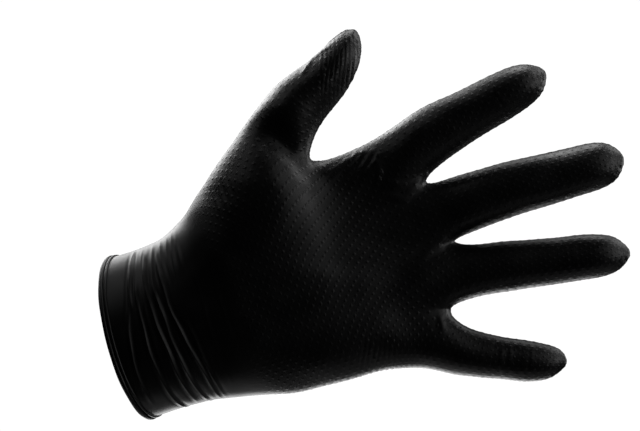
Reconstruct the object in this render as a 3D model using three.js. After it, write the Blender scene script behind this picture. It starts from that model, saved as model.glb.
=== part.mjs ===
// A black nitrile examination glove as it is worn on a spread hand, palm to the front (-Y).
// It is one dipped film: palm, back, four fingers, thumb and cuff, with a rolled bead at the rim.
// +X runs from the cuff's opening to the middle fingertip, +Z points to the thumb's side.
// The origin is the middle of the opening, where the wrist goes in. Millimetres and degrees.
import * as THREE from 'three';

// Driving dimensions
const cuffLength = 52;
const cuffTilt = 12;
const rimSkew = 7;
const rimRise = 1.4;
const cuffRoll = 11;
const wristWidth = 73.5;
const wristThickness = 47;
const palmLength = 92;
const palmWidth = 100;
const palmThickness = 35;
const filmThickness = 1;
const indexLength = 75;
const indexWidth = 26.4;
const middleLength = 84.7;
const middleWidth = 26.2;
const ringLength = 81;
const ringWidth = 24.8;
const littleLength = 60.3;
const littleWidth = 23.6;
const thumbLength = 60.4;
const thumbWidth = 29.6;
const beadDiameter = 2.6;
const foldHeight = 0.9;
const foldWidth = 1.9;
const knuckleHeight = 2;
const knuckleSpread = 9;

// Each finger runs straight from the middle of its foot in the palm to its tip. The foot is given
// by the shares of the palm's length and width, the spread by its angle to the hand's length, the
// flex by its angle to the front. The web is the share of the palm's length by which the skin
// towards the next finger stands out beyond the knuckles, the tip's shift a share of the width.
const fingers = [
  {
    name: 'index',
    length: indexLength,
    width: indexWidth,
    foot: { along: 0.9, across: 0.335 },
    spread: 11.9,
    flex: 5,
    web: 0.004,
    tipShift: 0,
  },
  {
    name: 'middle',
    length: middleLength,
    width: middleWidth,
    foot: { along: 0.99, across: 0.065 },
    spread: -3,
    flex: 6,
    web: 0.042,
    tipShift: 0.027,
  },
  {
    name: 'ring',
    length: ringLength,
    width: ringWidth,
    foot: { along: 0.935, across: -0.19 },
    spread: -12.7,
    flex: 6,
    web: 0.018,
    tipShift: 0,
  },
  {
    name: 'little',
    length: littleLength,
    width: littleWidth,
    foot: { along: 0.76, across: -0.445 },
    spread: -28.5,
    flex: 5,
    web: 0,
    tipShift: 0.035,
  },
];
const thumb = {
  length: thumbLength,
  width: thumbWidth,
  foot: { along: 0.39, across: 0.6 },
  spread: 33,
  flex: 4,
  tipShift: 0.06,
};

// Sections along each finger, as shares: along of its length, half of its width, the others of
// the same width. The shift goes to the thumb's side.
const fingerSections = {
  index: [
    { along: 0.17, half: 0.485, pad: 0.48, back: 0.47, shift: 0.055 },
    { along: 0.34, half: 0.45, pad: 0.44, back: 0.44, shift: 0.083 },
    { along: 0.52, half: 0.41, pad: 0.42, back: 0.42, shift: 0.055 },
    { along: 0.69, half: 0.398, pad: 0.41, back: 0.37, shift: 0.03 },
    { along: 0.82, half: 0.381, pad: 0.4, back: 0.32, shift: 0.02 },
    { along: 0.91, half: 0.305, pad: 0.34, back: 0.25, shift: 0.01 },
    { along: 0.965, half: 0.2, pad: 0.2, back: 0.16, shift: 0 },
  ],
  middle: [
    { along: 0.15, half: 0.478, pad: 0.48, back: 0.47, shift: 0.025 },
    { along: 0.32, half: 0.45, pad: 0.44, back: 0.44, shift: 0.058 },
    { along: 0.5, half: 0.45, pad: 0.43, back: 0.43, shift: 0.045 },
    { along: 0.68, half: 0.415, pad: 0.41, back: 0.38, shift: 0.036 },
    { along: 0.82, half: 0.405, pad: 0.4, back: 0.32, shift: 0.028 },
    { along: 0.915, half: 0.35, pad: 0.34, back: 0.25, shift: 0.028 },
    { along: 0.968, half: 0.26, pad: 0.2, back: 0.16, shift: 0.027 },
  ],
  ring: [
    { along: 0.16, half: 0.445, pad: 0.48, back: 0.47, shift: -0.008 },
    { along: 0.33, half: 0.443, pad: 0.44, back: 0.44, shift: 0 },
    { along: 0.5, half: 0.417, pad: 0.43, back: 0.43, shift: 0 },
    { along: 0.68, half: 0.39, pad: 0.41, back: 0.38, shift: 0.005 },
    { along: 0.82, half: 0.392, pad: 0.4, back: 0.32, shift: 0 },
    { along: 0.915, half: 0.331, pad: 0.34, back: 0.25, shift: 0.01 },
    { along: 0.968, half: 0.21, pad: 0.2, back: 0.16, shift: 0 },
  ],
  little: [
    { along: 0.24, half: 0.45, pad: 0.48, back: 0.46, shift: -0.08 },
    { along: 0.4, half: 0.41, pad: 0.43, back: 0.43, shift: -0.093 },
    { along: 0.57, half: 0.375, pad: 0.4, back: 0.39, shift: -0.096 },
    { along: 0.73, half: 0.383, pad: 0.38, back: 0.34, shift: -0.06 },
    { along: 0.85, half: 0.345, pad: 0.35, back: 0.28, shift: -0.034 },
    { along: 0.925, half: 0.275, pad: 0.28, back: 0.21, shift: -0.004 },
    { along: 0.97, half: 0.19, pad: 0.16, back: 0.12, shift: 0.035 },
  ],
};
const thumbSections = [
  { along: 0.21, half: 0.445, pad: 0.5, back: 0.46, shift: 0.036 },
  { along: 0.36, half: 0.431, pad: 0.46, back: 0.44, shift: 0.04 },
  { along: 0.5, half: 0.391, pad: 0.43, back: 0.42, shift: -0.018 },
  { along: 0.63, half: 0.335, pad: 0.4, back: 0.4, shift: -0.06 },
  { along: 0.75, half: 0.3, pad: 0.37, back: 0.37, shift: -0.047 },
  { along: 0.86, half: 0.236, pad: 0.31, back: 0.3, shift: -0.033 },
  { along: 0.94, half: 0.158, pad: 0.2, back: 0.2, shift: 0.005 },
];

// Sections of the cuff, as shares: along of the cuff's length, the two edges of half the wrist's
// width, the depths of half its thickness.
const cuffSections = [
  { along: 0, radial: 1, ulnar: 1.022, pad: 1, back: 1 },
  { along: 0.25, radial: 0.98, ulnar: 1.022, pad: 0.98, back: 0.98 },
  { along: 0.5, radial: 0.995, ulnar: 1.045, pad: 0.95, back: 0.94 },
  { along: 0.75, radial: 1.15, ulnar: 1.13, pad: 0.92, back: 0.88 },
  { along: 0.9, radial: 1.33, ulnar: 1.185, pad: 0.91, back: 0.84 },
  { along: 1, radial: 1.41, ulnar: 1.22, pad: 0.9, back: 0.82 },
];

// Sections of the palm, as shares: the two ends along the palm's length from the wrist, the two
// edges of the palm's width, the depths of half its thickness. The thumb grows out of the side
// between the rows that name its outer edge and its web.
const palmSections = [
  { ulnarAlong: 0.09, radialAlong: 0.08, ulnar: 0.475, radial: 0.582, pad: 1.1, back: 1.0 },
  { ulnarAlong: 0.22, radialAlong: 0.19, ulnar: 0.49, radial: 0.645, pad: 1.1, back: 0.96 },
  { ulnarAlong: 0.34, radialAlong: 0.31, ulnar: 0.5, radial: 0.73, pad: 1.1, back: 0.94, thumb: 'outer edge' },
  { ulnarAlong: 0.43, radialAlong: 0.42, ulnar: 0.5, radial: 0.6, pad: 1.06, back: 0.94, thumb: 'middle' },
  { ulnarAlong: 0.52, radialAlong: 0.48, ulnar: 0.505, radial: 0.46, pad: 1.0, back: 0.94, thumb: 'web' },
  { ulnarAlong: 0.62, radialAlong: 0.65, ulnar: 0.53, radial: 0.45, pad: 0.98, back: 0.9 },
];

// Muscle pads and the hollow of the palm, as shares of the palm's length, width and thickness:
// the ball of the thumb, the heel below the little finger, the hollow and the pads below the
// fingers.
const mounds = [
  { along: 0.06, across: 0.27, spread: 0.2, height: 0.08 },
  { along: 0.27, across: 0.45, spread: 0.24, height: 0.15 },
  { along: 0.08, across: -0.27, spread: 0.2, height: 0.06 },
  { along: 0.36, across: -0.36, spread: 0.22, height: 0.07 },
  { along: 0.69, across: 0.07, spread: 0.34, height: -0.18 },
  { along: 0.88, across: 0.24, spread: 0.13, height: 0.04 },
  { along: 0.88, across: -0.2, spread: 0.15, height: 0.05 },
];

// Folds pressed round the wrist, from the rim, as shares of the cuff's length. The lean moves a
// fold's thumb side away from the rim, the size is a share of the fold height.
const wristFolds = [
  { along: 0.185, lean: 0.08, size: 0.9 },
  { along: 0.29, lean: 0, size: 0.8 },
  { along: 0.4, lean: -0.02, size: 1 },
  { along: 0.535, lean: -0.05, size: 1 },
  { along: 0.75, lean: 0, size: 0.6 },
  { along: 0.885, lean: 0, size: 0.5 },
];

// A cage corner is drawn in by the smoothing, by this share on a ring of eight corners.
const ringDraw = (2 + Math.cos(Math.PI / 4)) / 3;
const cuffRows = 13;
const palmColumns = 8;
const handCorners = 2 * palmColumns + 4;
const fingerCorners = 8;
const tipReach = 0.055;
const bendStart = 0.6;
const bendEnd = 0.45;
const rimReach = 1.2;
const columnSpread = 0.94;
const ellipsePower = 2;
const palmPower = 2.5;
const knuckleSetback = 0.1;

// The ring at the knuckles, as shares of half a finger's width: how far its corners stand to the
// side and how deep they lie at a finger's middle, at a web and at the two outer edges.
const webSide = 0.86;
const edgeSide = 1.04;
const fingerDepth = 1.08;
const webDepth = 0.7;
const edgeDepth = 0.62;

// The bead's round from the outer skin to the inner one, and how far it stands off the rim as a
// share of its radius.
const beadAngles = [120, 80, 40, 0, -40, -80, -120];
const beadStand = 0.5;

const radians = THREE.MathUtils.degToRad;
const lerp = THREE.MathUtils.lerp;

// The cage: its corners and its four-sided faces
const corners = [];
const faces = [];

function addCorner(position) {
  corners.push(position);
  return corners.length - 1;
}

function joinRings(near, far) {
  near.forEach((corner, i) => {
    const next = (i + 1) % near.length;
    faces.push([corner, near[next], far[next], far[i]]);
  });
}

// The height of the hand's middle plane: the cuff tilts back from the palm and bends into it.
function middleHeight(along) {
  const slope = Math.tan(radians(cuffTilt));
  const from = cuffLength * bendStart;
  const to = cuffLength + palmLength * bendEnd;
  if (along <= from) return -slope * along;
  const run = Math.min(along, to) - from;
  return -slope * (from + run - (run * run) / (2 * (to - from)));
}

// How much of the rim's lean, roll and rise is left at a section: all fade out past the wrist.
// The rise is how much shorter the cuff is on the thumb's side.
function rimShare(along) {
  return THREE.MathUtils.clamp(1 - along / (cuffLength * rimReach), 0, 1);
}

function planeLean(along) {
  return Math.tan(radians(cuffTilt + rimSkew)) * rimShare(along);
}

// One ring of the hand: the thumb's side, the palm's columns, the little finger's side and the
// columns of the back. Evenness moves the columns from an ellipse to equal steps.
function handRing({ ulnarX, radialX, ulnarZ, radialZ, pad, back, evenness }) {
  const power = lerp(ellipsePower, palmPower, evenness);
  const middleZ = (ulnarZ + radialZ) / 2;
  const halfZ = (radialZ - ulnarZ) / 2;
  const ring = [];
  for (let i = 0; i < handCorners; i += 1) {
    const angle = (2 * Math.PI * i) / handCorners;
    const side = i % (handCorners / 2) === 0;
    const column = i < handCorners / 2 ? i - 1 : handCorners - 1 - i;
    const even = columnSpread * (1 - (2 * column) / palmColumns);
    const across = side ? Math.round(Math.cos(angle)) : lerp(Math.cos(angle), even, evenness);
    const depth = side ? 0 : (1 - Math.abs(across) ** power) ** (1 / power);
    const along = lerp(ulnarX, radialX, (across + 1) / 2);
    const drop = Math.sin(angle) > 0 ? -pad * depth : back * depth;
    const roll = radians(cuffRoll) * rimShare(along);
    const y = drop * Math.cos(roll) + across * halfZ * Math.sin(roll);
    const z = middleZ + across * halfZ * Math.cos(roll) - drop * Math.sin(roll);
    const rise = rimRise * rimShare(along) * ((across + 1) / 2);
    const x = along + rise + y * planeLean(along);
    ring.push(addCorner(new THREE.Vector3(x, middleHeight(along) + y, z)));
  }
  return ring;
}

function between(rows, along, column) {
  const next = Math.max(1, rows.findIndex((row) => row.along >= along));
  const [a, b] = [rows[next - 1], rows[next]];
  return lerp(a[column], b[column], (along - a.along) / (b.along - a.along));
}

function cuffRings() {
  const rings = [];
  for (let row = 0; row <= cuffRows; row += 1) {
    const share = row / cuffRows;
    rings.push(handRing({
      ulnarX: share * cuffLength,
      radialX: share * cuffLength,
      ulnarZ: (-wristWidth / 2) * between(cuffSections, share, 'ulnar'),
      radialZ: (wristWidth / 2) * between(cuffSections, share, 'radial'),
      pad: (wristThickness / 2) * between(cuffSections, share, 'pad'),
      back: (wristThickness / 2) * between(cuffSections, share, 'back'),
      evenness: 0,
    }));
  }
  return rings;
}

function palmRings() {
  return palmSections.map((row, i) => ({
    thumb: row.thumb,
    ring: handRing({
      ulnarX: cuffLength + palmLength * row.ulnarAlong,
      radialX: cuffLength + palmLength * row.radialAlong,
      ulnarZ: -palmWidth * row.ulnar,
      radialZ: palmWidth * row.radial,
      pad: (palmThickness / 2) * row.pad,
      back: (palmThickness / 2) * row.back,
      evenness: (i + 1) / palmSections.length,
    }),
  }));
}

// A finger's own frame: its foot, its direction, the way to the thumb's side and to its pad
function fingerFrame(finger) {
  const footX = cuffLength + palmLength * finger.foot.along;
  const foot = new THREE.Vector3(footX, middleHeight(footX), palmWidth * finger.foot.across);
  const spread = radians(finger.spread);
  const flex = radians(finger.flex);
  const level = new THREE.Vector3(Math.cos(spread), 0, Math.sin(spread));
  const direction = level.multiplyScalar(Math.cos(flex)).add(new THREE.Vector3(0, -Math.sin(flex), 0));
  const side = new THREE.Vector3(-Math.sin(spread), 0, Math.cos(spread));
  const pad = new THREE.Vector3().crossVectors(direction, side);
  return { foot, direction, side, pad };
}

function fingerPoint(frame, along, across, deep) {
  return frame.foot.clone()
    .addScaledVector(frame.direction, along)
    .addScaledVector(frame.side, across)
    .addScaledVector(frame.pad, deep);
}

// The tube of one finger, from the ring of corners that it starts on to its closed tip
function growFinger(finger, rows, start) {
  const frame = fingerFrame(finger);
  let previous = start;
  rows.forEach((row) => {
    const ring = [];
    for (let i = 0; i < fingerCorners; i += 1) {
      const angle = (2 * Math.PI * (i + 1)) / fingerCorners;
      const rise = Math.sin(angle) > 0 ? row.pad : row.back;
      const across = finger.width * (row.shift + (row.half / ringDraw) * Math.cos(angle));
      const deep = finger.width * (rise / ringDraw) * Math.sin(angle);
      ring.push(addCorner(fingerPoint(frame, row.along * finger.length, across, deep)));
    }
    joinRings(previous, ring);
    previous = ring;
  });
  const tipAcross = finger.width * finger.tipShift;
  const tip = addCorner(fingerPoint(frame, finger.length * (1 + tipReach), tipAcross, 0));
  for (let i = 0; i < fingerCorners; i += 2) {
    const before = (i + fingerCorners - 1) % fingerCorners;
    faces.push([previous[before], previous[i], previous[i + 1], tip]);
  }
}

// The ring where the fingers start. Neighbours share the corners of the web between them.
function knuckleRow() {
  const frames = fingers.map(fingerFrame);
  const halves = fingers.map((finger) => finger.width / 2);
  const corner = (i, side, deep) => (
    fingerPoint(frames[i], 0, side * halves[i] * webSide, deep * halves[i])
  );
  const last = fingers.length - 1;
  const line = (deep) => {
    const points = [corner(0, 1, deep * edgeDepth)];
    fingers.forEach((finger, i) => {
      points.push(corner(i, 0, deep * fingerDepth));
      if (i < last) points.push(corner(i, -1, deep * webDepth).lerp(corner(i + 1, 1, deep * webDepth), 0.5));
      else points.push(corner(i, -1, deep * edgeDepth));
    });
    return points.map(addCorner);
  };
  const padLine = line(1);
  const backLine = line(-1);
  const outer = (i, side) => addCorner(fingerPoint(frames[i], 0, side * halves[i] * edgeSide, 0));
  const webs = [outer(0, 1)];
  fingers.slice(0, last).forEach((finger, i) => {
    const web = corners[padLine[2 * i + 2]].clone().lerp(corners[backLine[2 * i + 2]], 0.5);
    web.x += palmLength * finger.web;
    webs.push(addCorner(web));
  });
  webs.push(outer(last, -1));
  return { padLine, backLine, webs };
}

function buildCage() {
  const cuff = cuffRings();
  const palm = palmRings();
  const rings = [...cuff, ...palm.map((row) => row.ring)];
  const row = (name) => palm.find((entry) => entry.thumb === name).ring;
  const { padLine, backLine, webs } = knuckleRow();
  const knuckles = [webs[0], ...padLine, webs[fingers.length], ...backLine.slice().reverse()];
  rings.push(knuckles);
  rings.slice(1).forEach((ring, i) => joinRings(rings[i], ring));
  openThumb(row('outer edge'), row('middle'), row('web'));
  fingers.forEach((finger, i) => {
    const pads = padLine.slice(2 * i, 2 * i + 3);
    const backs = backLine.slice(2 * i, 2 * i + 3).reverse();
    growFinger(finger, fingerSections[finger.name], [...pads, webs[i + 1], ...backs, webs[i]]);
  });
  return cuff[0];
}

// The four faces of the palm's side round the middle corner make way for the thumb.
function openThumb(outer, middle, web) {
  for (let i = faces.length - 1; i >= 0; i -= 1) {
    if (faces[i].includes(middle[0])) faces.splice(i, 1);
  }
  const last = handCorners - 1;
  const start = [outer[1], middle[1], web[1], web[0], web[last], middle[last], outer[last], outer[0]];
  growFinger(thumb, thumbSections, start);
}

// Catmull-Clark smoothing of four-sided faces: each face is cut in four, and every corner
// moves to the weighted mean of its neighbours. The rim is an open edge.
function edgeKey(a, b) {
  return a < b ? `${a} ${b}` : `${b} ${a}`;
}

function neighbourhood(points, quads) {
  const edges = new Map();
  const around = points.map(() => ({ faces: [], edges: [] }));
  quads.forEach((quad, f) => {
    quad.forEach((corner, i) => {
      const next = quad[(i + 1) % 4];
      const key = edgeKey(corner, next);
      if (!edges.has(key)) edges.set(key, { ends: [corner, next], faces: [] });
      edges.get(key).faces.push(f);
      around[corner].faces.push(f);
    });
  });
  edges.forEach((edge) => edge.ends.forEach((end) => around[end].edges.push(edge)));
  return { edges, around };
}

function mean(list) {
  const sum = new THREE.Vector3();
  list.forEach((point) => sum.add(point));
  return sum.divideScalar(list.length);
}

function otherEnd(edge, corner) {
  return edge.ends[0] === corner ? edge.ends[1] : edge.ends[0];
}

function smooth(points, quads) {
  const { edges, around } = neighbourhood(points, quads);
  const result = points.map((point, corner) => {
    const rim = around[corner].edges.filter((edge) => edge.faces.length === 1);
    if (rim.length > 0) {
      const ends = mean(rim.map((edge) => points[otherEnd(edge, corner)]));
      return point.clone().multiplyScalar(0.75).addScaledVector(ends, 0.25);
    }
    const count = around[corner].edges.length;
    const facePart = mean(around[corner].faces.map((f) => mean(quads[f].map((c) => points[c]))));
    const edgePart = mean(around[corner].edges.map((edge) => mean(edge.ends.map((c) => points[c]))));
    return point.clone().multiplyScalar(count - 3).add(facePart).addScaledVector(edgePart, 2)
      .divideScalar(count);
  });
  const middles = quads.map((quad) => result.push(mean(quad.map((c) => points[c]))) - 1);
  edges.forEach((edge) => {
    const held = edge.ends.map((c) => points[c]);
    if (edge.faces.length === 2) edge.faces.forEach((f) => held.push(result[middles[f]]));
    edge.point = result.push(mean(held)) - 1;
  });
  const cut = [];
  quads.forEach((quad, f) => {
    quad.forEach((corner, i) => {
      const next = edges.get(edgeKey(corner, quad[(i + 1) % 4]));
      const before = edges.get(edgeKey(corner, quad[(i + 3) % 4]));
      cut.push([corner, next.point, middles[f], before.point]);
    });
  });
  return { points: result, quads: cut };
}

// Each corner moves to the place that endless smoothing would give it.
function settle(points, quads) {
  const { around } = neighbourhood(points, quads);
  return points.map((point, corner) => {
    const own = around[corner];
    const rim = own.edges.filter((edge) => edge.faces.length === 1);
    if (rim.length > 0) {
      const ends = mean(rim.map((edge) => points[otherEnd(edge, corner)]));
      return point.clone().multiplyScalar(2 / 3).addScaledVector(ends, 1 / 3);
    }
    const count = own.edges.length;
    const sum = point.clone().multiplyScalar(count * count);
    own.edges.forEach((edge) => sum.addScaledVector(points[otherEnd(edge, corner)], 4));
    own.faces.forEach((f) => sum.add(points[quads[f][(quads[f].indexOf(corner) + 2) % 4]]));
    return sum.divideScalar(count * (count + 5));
  });
}

function normalsOf(points, quads) {
  const normals = points.map(() => new THREE.Vector3());
  quads.forEach((quad) => {
    const [a, b, c, d] = quad.map((corner) => points[corner]);
    const normal = c.clone().sub(a).cross(d.clone().sub(b));
    quad.forEach((corner) => normals[corner].add(normal));
  });
  return normals.map((normal) => normal.normalize());
}

// How far the skin stands out at a point: the muscle pads of the palm, the knuckles on the back
// and the wrist's folds
function swell(point, normal) {
  let out = 0;
  mounds.forEach((mound) => {
    const along = (point.x - cuffLength) / palmLength - mound.along;
    const across = point.z / palmWidth - mound.across;
    const far = (along * along + across * across) / (mound.spread * mound.spread);
    out += palmThickness * mound.height * Math.exp(-far) * Math.max(0, -normal.y);
  });
  fingers.forEach((finger) => {
    const along = point.x - cuffLength - palmLength * (finger.foot.along - knuckleSetback);
    const across = point.z - palmWidth * finger.foot.across;
    const far = (along * along + across * across) / (knuckleSpread * knuckleSpread);
    out += knuckleHeight * Math.exp(-far) * Math.max(0, normal.y);
  });
  const fromRim = point.x - (point.y - middleHeight(point.x)) * planeLean(point.x);
  wristFolds.forEach((fold) => {
    const at = cuffLength * (fold.along + (fold.lean * point.z * 2) / wristWidth);
    const off = (fromRim - at) / foldWidth;
    out += foldHeight * fold.size * Math.exp(-off * off);
  });
  return out;
}

function offset(points, normals, distance) {
  return points.map((point, i) => {
    const step = typeof distance === 'number' ? distance : distance(point, normals[i]);
    return point.clone().addScaledVector(normals[i], step);
  });
}

// The open edge in its running order
function rimLoop(points, quads, start) {
  const next = new Map();
  const { edges } = neighbourhood(points, quads);
  quads.forEach((quad) => quad.forEach((corner, i) => {
    const end = quad[(i + 1) % 4];
    if (edges.get(edgeKey(corner, end)).faces.length === 1) next.set(corner, end);
  }));
  const loop = [start];
  while (next.get(loop[loop.length - 1]) !== start) loop.push(next.get(loop[loop.length - 1]));
  return loop;
}

// The outer and the inner skin of the film, and the bead that is rolled at the rim between them
function gloveGeometry() {
  const rim = buildCage();
  const cut = smooth(corners, faces);
  const quads = cut.quads;
  const even = settle(cut.points, quads);
  const outer = offset(even, normalsOf(even, quads), swell);
  const normals = normalsOf(outer, quads);
  const inner = offset(outer, normals, -filmThickness);
  const points = [...outer, ...inner];
  const shift = outer.length;
  const skin = [...quads, ...quads.map((quad) => quad.map((corner) => corner + shift).reverse())];

  const loop = rimLoop(outer, quads, rim[0]);
  const leaving = new THREE.Vector3(-Math.cos(radians(cuffTilt)), Math.sin(radians(cuffTilt)), 0);
  let previous = loop;
  beadAngles.forEach((angle) => {
    const ring = loop.map((corner) => {
      const middle = outer[corner].clone().lerp(inner[corner], 0.5);
      const away = normals[corner].clone().addScaledVector(leaving, -normals[corner].dot(leaving));
      middle.addScaledVector(leaving, (beadDiameter / 2) * (Math.cos(radians(angle)) + beadStand));
      middle.addScaledVector(away.normalize(), (beadDiameter / 2) * Math.sin(radians(angle)));
      return points.push(middle) - 1;
    });
    bridge(skin, previous, ring);
    previous = ring;
  });
  bridge(skin, previous, loop.map((corner) => corner + shift));
  return asGeometry(points, skin);
}

function bridge(skin, near, far) {
  near.forEach((corner, i) => {
    const next = (i + 1) % near.length;
    skin.push([near[next], corner, far[i], far[next]]);
  });
}

// Two triangles for each four-sided face, cut along its shorter diagonal. The corner that made
// way for the thumb is in no face and is left out.
function asGeometry(points, quads) {
  const kept = [...new Set(quads.flat())];
  const place = new Map(kept.map((corner, i) => [corner, i]));
  const index = [];
  quads.forEach(([a, b, c, d]) => {
    const straight = points[a].distanceTo(points[c]) <= points[b].distanceTo(points[d]);
    const cut = straight ? [a, b, c, a, c, d] : [b, c, d, b, d, a];
    index.push(...cut.map((corner) => place.get(corner)));
  });
  const positions = kept.flatMap((corner) => points[corner].toArray());
  const geometry = new THREE.BufferGeometry();
  geometry.setAttribute('position', new THREE.Float32BufferAttribute(positions, 3));
  geometry.setIndex(index);
  geometry.computeVertexNormals();
  return geometry;
}

const nitrile = new THREE.MeshStandardMaterial({ color: 0x141416, roughness: 0.5, metalness: 0 });

const glove = new THREE.Mesh(gloveGeometry(), nitrile);
glove.name = 'glove';

const group = new THREE.Group();
group.add(glove);

export default group;
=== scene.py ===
# A black nitrile examination glove in its worn form, with the fingers spread and the palm shown.
# Lengths are in millimetres up to the point where a mesh is made, which is in metres.
import math

import bpy
import numpy as np
from mathutils import Matrix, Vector
from mathutils.bvhtree import BVHTree


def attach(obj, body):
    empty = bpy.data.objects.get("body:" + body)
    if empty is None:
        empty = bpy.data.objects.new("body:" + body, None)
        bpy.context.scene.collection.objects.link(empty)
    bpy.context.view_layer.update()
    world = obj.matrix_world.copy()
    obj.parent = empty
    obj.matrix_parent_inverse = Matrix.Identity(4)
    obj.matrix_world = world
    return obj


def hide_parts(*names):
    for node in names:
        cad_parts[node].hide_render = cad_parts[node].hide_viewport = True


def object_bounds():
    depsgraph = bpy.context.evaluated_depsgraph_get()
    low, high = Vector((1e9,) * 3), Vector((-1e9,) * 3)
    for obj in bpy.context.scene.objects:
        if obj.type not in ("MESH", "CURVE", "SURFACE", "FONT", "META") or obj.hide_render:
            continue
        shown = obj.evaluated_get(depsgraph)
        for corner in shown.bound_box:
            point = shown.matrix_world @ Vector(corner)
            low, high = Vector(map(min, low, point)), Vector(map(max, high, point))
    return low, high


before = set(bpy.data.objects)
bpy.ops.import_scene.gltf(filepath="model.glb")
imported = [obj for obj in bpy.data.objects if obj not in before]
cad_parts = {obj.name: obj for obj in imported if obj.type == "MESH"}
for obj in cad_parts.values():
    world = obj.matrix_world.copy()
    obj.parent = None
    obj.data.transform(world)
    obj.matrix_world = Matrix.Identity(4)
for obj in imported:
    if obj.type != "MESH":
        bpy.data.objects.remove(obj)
cad_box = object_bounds()

# The form: the dipped film is one closed skin, here a left one with its fingers spread.
# A coarse cage of four-sided faces is set out by the glove's sizes and smoothed by subdivision.
# Its sizes and tables are the solid part's own, so both lie in the same place.
cuff_length = 52
cuff_tilt = math.radians(12)
rim_skew = math.radians(7)
rim_rise = 1.4
cuff_roll = math.radians(11)
wrist_width = 73.5
wrist_thickness = 47
palm_length = 92
palm_width = 100
palm_thickness = 35

fingers = {
    "index": dict(length=75, width=26.4, along=0.9, across=0.335, spread=11.9, flex=5, web=0.004),
    "middle": dict(length=84.7, width=26.2, along=0.99, across=0.065, spread=-3, flex=6, web=0.042),
    "ring": dict(length=81, width=24.8, along=0.935, across=-0.19, spread=-12.7, flex=6, web=0.018),
    "little": dict(length=60.3, width=23.6, along=0.76, across=-0.445, spread=-28.5, flex=5, web=0),
}
thumb = dict(length=60.4, width=29.6, along=0.39, across=0.6, spread=33, flex=4)
tip_shifts = {"index": 0, "middle": 0.027, "ring": 0, "little": 0.035, "thumb": 0.06}

section_columns = ("along", "half", "pad", "back", "shift")
finger_sections = {
    "index": [
        (0.17, 0.485, 0.48, 0.47, 0.055),
        (0.34, 0.45, 0.44, 0.44, 0.083),
        (0.52, 0.41, 0.42, 0.42, 0.055),
        (0.69, 0.398, 0.41, 0.37, 0.03),
        (0.82, 0.381, 0.4, 0.32, 0.02),
        (0.91, 0.305, 0.34, 0.25, 0.01),
        (0.965, 0.2, 0.2, 0.16, 0),
    ],
    "middle": [
        (0.15, 0.478, 0.48, 0.47, 0.025),
        (0.32, 0.45, 0.44, 0.44, 0.058),
        (0.5, 0.45, 0.43, 0.43, 0.045),
        (0.68, 0.415, 0.41, 0.38, 0.036),
        (0.82, 0.405, 0.4, 0.32, 0.028),
        (0.915, 0.35, 0.34, 0.25, 0.028),
        (0.968, 0.26, 0.2, 0.16, 0.027),
    ],
    "ring": [
        (0.16, 0.445, 0.48, 0.47, -0.008),
        (0.33, 0.443, 0.44, 0.44, 0),
        (0.5, 0.417, 0.43, 0.43, 0),
        (0.68, 0.39, 0.41, 0.38, 0.005),
        (0.82, 0.392, 0.4, 0.32, 0),
        (0.915, 0.331, 0.34, 0.25, 0.01),
        (0.968, 0.21, 0.2, 0.16, 0),
    ],
    "little": [
        (0.24, 0.45, 0.48, 0.46, -0.08),
        (0.4, 0.41, 0.43, 0.43, -0.093),
        (0.57, 0.375, 0.4, 0.39, -0.096),
        (0.73, 0.383, 0.38, 0.34, -0.06),
        (0.85, 0.345, 0.35, 0.28, -0.034),
        (0.925, 0.275, 0.28, 0.21, -0.004),
        (0.97, 0.19, 0.16, 0.12, 0.035),
    ],
    "thumb": [
        (0.21, 0.445, 0.5, 0.46, 0.036),
        (0.36, 0.431, 0.46, 0.44, 0.04),
        (0.5, 0.391, 0.43, 0.42, -0.018),
        (0.63, 0.335, 0.4, 0.4, -0.06),
        (0.75, 0.3, 0.37, 0.37, -0.047),
        (0.86, 0.236, 0.31, 0.3, -0.033),
        (0.94, 0.158, 0.2, 0.2, 0.005),
    ],
}

# along, radial, ulnar, pad and back as shares of the cuff's length and half the wrist's sizes
cuff_sections = np.array([
    (0, 1, 1.022, 1, 1),
    (0.25, 0.98, 1.022, 0.98, 0.98),
    (0.5, 0.995, 1.045, 0.95, 0.94),
    (0.75, 1.15, 1.13, 0.92, 0.88),
    (0.9, 1.33, 1.185, 0.91, 0.84),
    (1, 1.41, 1.22, 0.9, 0.82),
])

# The ends along the palm and its two edges as shares of its length and width, and the depths
palm_sections = [
    dict(ulnar_along=0.09, radial_along=0.08, ulnar=0.475, radial=0.582, pad=1.1, back=1.0),
    dict(ulnar_along=0.22, radial_along=0.19, ulnar=0.49, radial=0.645, pad=1.1, back=0.96),
    dict(ulnar_along=0.34, radial_along=0.31, ulnar=0.5, radial=0.73, pad=1.1, back=0.94),
    dict(ulnar_along=0.43, radial_along=0.42, ulnar=0.5, radial=0.6, pad=1.06, back=0.94),
    dict(ulnar_along=0.52, radial_along=0.48, ulnar=0.505, radial=0.46, pad=1.0, back=0.94),
    dict(ulnar_along=0.62, radial_along=0.65, ulnar=0.53, radial=0.45, pad=0.98, back=0.9),
]
thumb_rows = slice(2, 5)

cuff_rows = 13
palm_columns = 8
body_corners = 2 * palm_columns + 4
finger_corners = 8
# Smoothing draws a finger's ring in to this share of its size, so each ring starts wider.
ring_draw = (2 + math.cos(2 * math.pi / finger_corners)) / 3
tip_reach = 0.055
bend_start = 0.6
bend_end = 0.45
rim_reach = 1.2

# The cuff's rings are ellipses, and towards the fingers they grow squarer and their columns even.
ellipse_power = 2
palm_power = 0.5
column_spread = 0.94

# The ring where the fingers start, as shares of half the fingers' widths
web_side = 0.86
edge_side = 1.04
finger_depth = 1.08
web_depth = 0.7
edge_depth = 0.62

corners = []
faces = []


def add_corner(position):
    corners.append(np.array(position, float))
    return len(corners) - 1


def join_rings(near, far):
    for i, corner in enumerate(near):
        after = (i + 1) % len(near)
        faces.append((corner, near[after], far[after], far[i]))


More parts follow.
